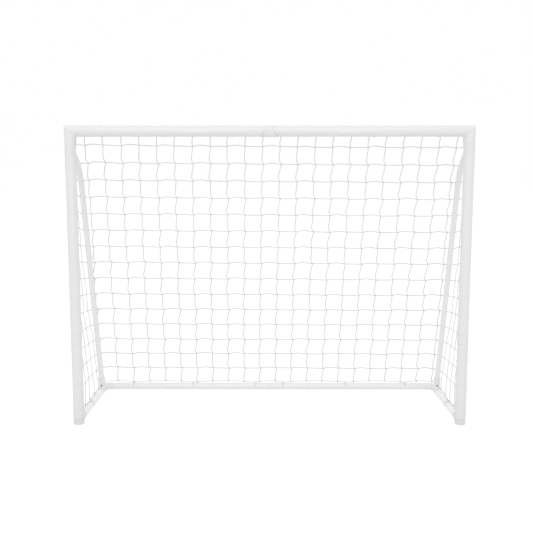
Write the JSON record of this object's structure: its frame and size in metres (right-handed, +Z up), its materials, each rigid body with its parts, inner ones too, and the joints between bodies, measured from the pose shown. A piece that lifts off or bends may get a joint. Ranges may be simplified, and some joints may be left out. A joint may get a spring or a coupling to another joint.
{
  "type": "soccer goal",
  "caption": "Small free-standing soccer goal of white plastic tube: round posts and crossbar, bent side stays, base rails, a rear bar and a sloping net.",
  "frame": {"origin": "on the ground, under the middle of the goal's outer box", "axes": "+Z up; +X to the right of someone who faces the mouth; the mouth faces -Y and the net slopes back towards +Y"},
  "size_m": [2.4452, 0.7999, 1.8326],
  "materials": {
    "white_upvc": "satin",
    "white_fitting": "satin",
    "foot_plastic": "matte",
    "clip_plastic": "satin",
    "net_twine": "matte",
    "button_steel": "satin"
  },
  "bodies": {
    "goal": {"base_rail_front_left": "white_upvc", "base_rail_front_right": "white_upvc", "base_rail_rear_left": "white_upvc", "base_rail_rear_right": "white_upvc", "crossbar_clip_left_1": "clip_plastic", "crossbar_clip_left_2": "clip_plastic", "crossbar_clip_left_3": "clip_plastic", "crossbar_clip_right_1": "clip_plastic", "crossbar_clip_right_2": "clip_plastic", "crossbar_clip_right_3": "clip_plastic", "crossbar_coupler": "white_fitting", "crossbar_tube_left": "white_upvc", "crossbar_tube_right": "white_upvc", "foot_cap_left": "foot_plastic", "foot_cap_right": "foot_plastic", "foot_corner_left": "white_fitting", "foot_corner_right": "white_fitting", "lock_spring_left": "button_steel", "lock_spring_right": "button_steel", "net_back": "net_twine", "net_side_left": "net_twine", "net_side_right": "net_twine", "post_clip_left_1": "clip_plastic", "post_clip_left_2": "clip_plastic", "post_clip_left_3": "clip_plastic", "post_clip_right_1": "clip_plastic", "post_clip_right_2": "clip_plastic", "post_clip_right_3": "clip_plastic", "post_coupler_left": "white_fitting", "post_coupler_right": "white_fitting", "post_lower_left": "white_upvc", "post_lower_right": "white_upvc", "post_upper_left": "white_upvc", "post_upper_right": "white_upvc", "rail_clip_left": "clip_plastic", "rail_clip_right": "clip_plastic", "rear_bar_clip_left_1": "clip_plastic", "rear_bar_clip_left_2": "clip_plastic", "rear_bar_clip_left_3": "clip_plastic", "rear_bar_clip_right_1": "clip_plastic", "rear_bar_clip_right_2": "clip_plastic", "rear_bar_clip_right_3": "clip_plastic", "rear_bar_coupler": "white_fitting", "rear_bar_left": "white_upvc", "rear_bar_right": "white_upvc", "rear_corner_left": "white_fitting", "rear_corner_right": "white_fitting", "stay_foot_tube_left": "white_upvc", "stay_foot_tube_right": "white_upvc", "stay_tee_left": "white_fitting", "stay_tee_right": "white_fitting", "stay_tube_left": "white_upvc", "stay_tube_right": "white_upvc", "top_corner_left": "white_fitting", "top_corner_right": "white_fitting"},
    "lock_button_left": {"lock_button_left": "button_steel"},
    "lock_button_right": {"lock_button_right": "button_steel"}
  },
  "joints": [
    {"name": "press_button_left", "type": "slide", "parent": "goal", "child": "lock_button_left", "axis": [0, 0.9613, 0.2756], "range_m": [0, 0.007], "stiffness_N_per_m": 600, "springref_m": -0.002, "deforming": ["lock_spring_left"]},
    {"name": "press_button_right", "type": "slide", "parent": "goal", "child": "lock_button_right", "axis": [0, 0.9613, 0.2756], "range_m": [0, 0.007], "stiffness_N_per_m": 600, "springref_m": -0.002, "deforming": ["lock_spring_right"]}
  ]
}
